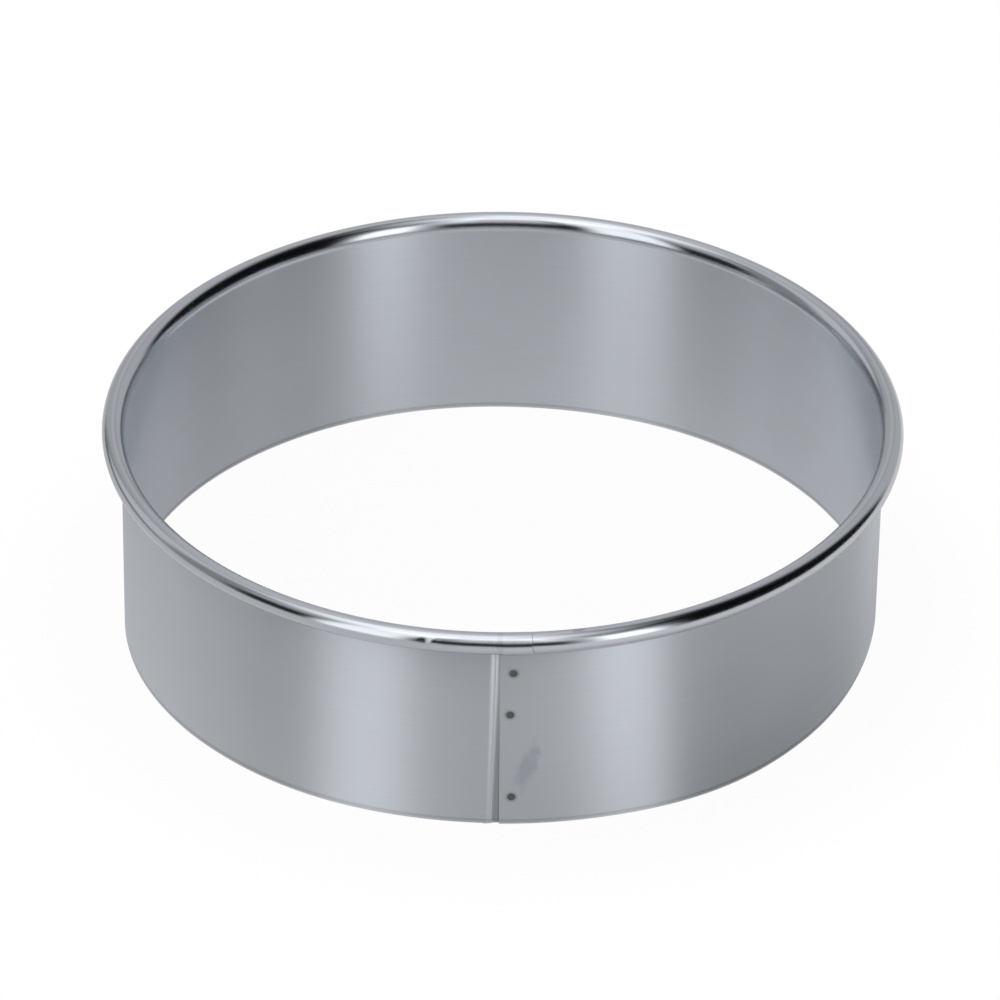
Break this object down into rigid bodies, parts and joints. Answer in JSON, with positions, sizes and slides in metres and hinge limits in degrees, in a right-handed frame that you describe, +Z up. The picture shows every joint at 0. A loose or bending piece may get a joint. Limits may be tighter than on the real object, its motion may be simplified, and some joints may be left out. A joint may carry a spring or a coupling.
{
  "type": "biscuit cutter",
  "caption": "Plain round biscuit cutter: satin steel ring with a rolled, wired rim and a lapped, spot-welded seam.",
  "frame": {"origin": "centre of the ring in the plane of its cutting edge", "axes": "+Z up the ring's axis, from the cutting edge to the rolled rim; the lapped seam faces -Y; +X is to the right of a viewer who faces the seam"},
  "size_m": [0.105, 0.105, 0.03],
  "materials": {
    "sheet": "satin, fine grain round the ring, brighter on the rolled rim",
    "wire": "drawn wire",
    "weld": "heat-darkened spot weld"
  },
  "bodies": {
    "root": {"band": "sheet", "rim_wire": "wire", "weld_bottom": "weld", "weld_middle": "weld", "weld_top": "weld"}
  },
  "joints": []
}
